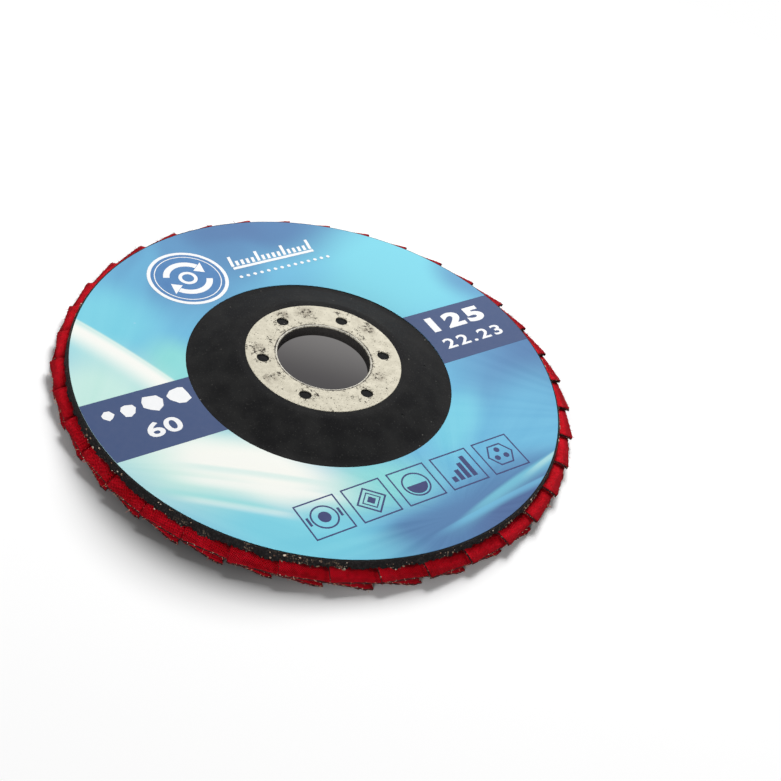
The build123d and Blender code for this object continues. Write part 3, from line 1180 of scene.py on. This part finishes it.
# %% Crust profile
rim_radius = 58.9
rim_steps = 1100
CRUST = [  # radius past the rim, height, share of the roughness
    (-0.62, -2.85, 0.0),
    (-0.30, -2.66, 0.2),
    (0.02, -2.70, 0.6),
    (0.16, -3.00, 1.0),
    (0.22, -3.45, 1.0),
    (0.24, -3.90, 1.0),
    (0.20, -4.25, 1.0),
    (0.00, -4.42, 0.8),
    (-0.40, -4.30, 0.2),
    (-0.62, -3.60, 0.0),
]

crust = bmesh.new()
profile = [crust.verts.new((rim_radius + out, 0, height)) for out, height, rough in CRUST]
loop = [crust.edges.new((profile[i - 1], profile[i])) for i in range(len(profile))]
bmesh.ops.spin(
    crust, geom=profile + loop, cent=(0, 0, 0), axis=(0, 0, 1),
    angle=2 * math.pi, steps=rim_steps, use_merge=True)
print("rim crust of", rim_steps, "steps")

# %% Crust relief
shade_skirt_way = 262.0
crumb_way = 312.0
mould_line = -2.9
shade_skirt_depth = 1.5
clump_level = 0.24


def facing(x, y, way):
    """1 where the rim looks in a direction, down to 0 where it looks sideways or away."""
    return max(0.0, math.cos(math.atan2(y, x) - math.radians(way)))


def plain_piece(name, drawing, finish):
    """Makes a piece of a finished drawing in millimetres and hangs it on the disc."""
    bmesh.ops.scale(drawing, vec=(MM, MM, MM), verts=drawing.verts)
    piece = piece_of(name, drawing, finish)
    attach(piece, "root")


rim_spots = []
for vertex in crust.verts:
    x, y, z = vertex.co
    place = Vector((x, y, z))
    flat = Vector((x, y, 0))
    out = math.hypot(x, y) - rim_radius
    rough = min(CRUST, key=lambda row: abs(row[0] - out) + abs(row[1] - z))[2]
    lump = noise.noise(place * 0.7) + 1.1 * noise.noise(place * 2.2)
    # Partly painted shade: toward the front the crust swells into a black skirt over the flaps, where
    # the rim's shade falls.
    shade_skirt = max(0.0, mould_line - z) / shade_skirt_depth * facing(x, y, shade_skirt_way)
    drip = max(0.0, 0.3 + noise.noise(flat * 0.22) + 0.7 * lump)
    push = rough * (0.15 * lump + shade_skirt * (0.22 + 0.55 * drip))
    fall = rough * (0.08 * lump + shade_skirt * (0.2 + 0.5 * drip))
    scale = (rim_radius + out + push) / (rim_radius + out)
    vertex.co = (x * scale, y * scale, z - fall)
    clump = noise.noise(flat * 0.16 + Vector((0, 0, 3))) + 0.35 * facing(x, y, crumb_way)
    if rough == 1.0 and clump > clump_level:
        rim_spots.append(vertex.co.copy())
bmesh.ops.recalc_face_normals(crust, faces=crust.faces)
plain_piece("rim_crust", crust, scorch)
print(len(rim_spots), "places for crumbs on the rim")

# %% [markdown]
# ## Crumbs and frayed threads
# Cutting the flaps leaves broken grain on the edges and short ends of cotton at the tips. Each
# crumb is a squashed ball of 20 faces and each thread a thin three sided spike. They are laid
# on vertices of the crust and of the flaps' cut edges, so that they all touch what they grow on.

# %% Crumb finishes
crumb_finish = Finish("crumbs", Roughness=0.8, Specular_IOR_Level=0.15)
facet = crumb_finish.cells(0.7)[1]
crumb_tone = crumb_finish.mix(facet[0], srgb(84, 60, 50), srgb(166, 142, 120))
paler = crumb_finish.step(facet[1], 0.7, 0.75)
crumb_finish.colour(crumb_finish.mix(paler, crumb_tone, srgb(222, 208, 188)))

thread_finish = Finish("thread_ends", Roughness=0.9, Specular_IOR_Level=0.1)
facet = thread_finish.cells(0.8)[1]
undyed = thread_finish.step(facet[0], 0.45, 0.55)
thread_finish.colour(thread_finish.mix(undyed, srgb(190, 20, 34), srgb(206, 168, 140)))
print("finishes:", crumb_finish.material.name, thread_finish.material.name)

# %% Crumbs
CRUMBS = [  # piece, places, count, smallest and largest size, slot, seed
    ("rim_crumbs", rim_spots, 200, (0.08, 0.34), "resin_plate", 11),
    ("edge_crumbs", edge_spots, 700, (0.05, 0.13), "abrasive_cloth", 12),
]


def squashed(chance, spot, size):
    """A crumb's place: turned any way, squashed and put on its spot."""
    squash = [chance.uniform(0.6, 1.3), chance.uniform(0.6, 1.3), chance.uniform(0.6, 1.0), 1]
    turn = chance.uniform(0, math.pi)
    turned = Matrix.Rotation(turn, 4, Vector((chance.random(), chance.random(), 1)))
    return Matrix.Translation(spot) @ turned @ Matrix.Diagonal(squash) @ Matrix.Scale(size, 4)


for name, spots, count, sizes, slot, seed in CRUMBS:
    chance = random.Random(seed)
    crumbs = bmesh.new()
    for spot in chance.sample(spots, count):
        size = chance.uniform(*sizes)
        place = squashed(chance, spot, size)
        bmesh.ops.create_icosphere(crumbs, subdivisions=1, radius=1, matrix=place)
    plain_piece(name, crumbs, crumb_finish)
    print(count, name)

# %% Frayed threads
thread_count = 420
thread_root = 0.055
thread_end = 0.02

chance = random.Random(13)
spikes = bmesh.new()
for spot in chance.sample(tip_spots, thread_count):
    outward = Vector((spot.x, spot.y, 0)).normalized()
    stray = (chance.uniform(-1, 1), chance.uniform(-1, 1), chance.uniform(-0.6, 0.3))
    upright = (outward + Vector(stray)).normalized().to_track_quat("Z", "Y").to_matrix().to_4x4()
    length = chance.uniform(0.3, 1.1)
    place = Matrix.Translation(spot) @ upright @ Matrix.Translation((0, 0, 0.4 * length))
    bmesh.ops.create_cone(
        spikes, cap_ends=True, segments=3, radius1=thread_root, radius2=thread_end,
        depth=length, matrix=place)
plain_piece("frayed_threads", spikes, thread_finish)
print(thread_count, "thread ends")

# %% Size and finish
visual_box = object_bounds()
sizes = {"cad": [list(corner) for corner in cad_box], "visual": [list(corner) for corner in visual_box]}
print("visual box", [[round(value / MM, 2) for value in corner] for corner in visual_box])
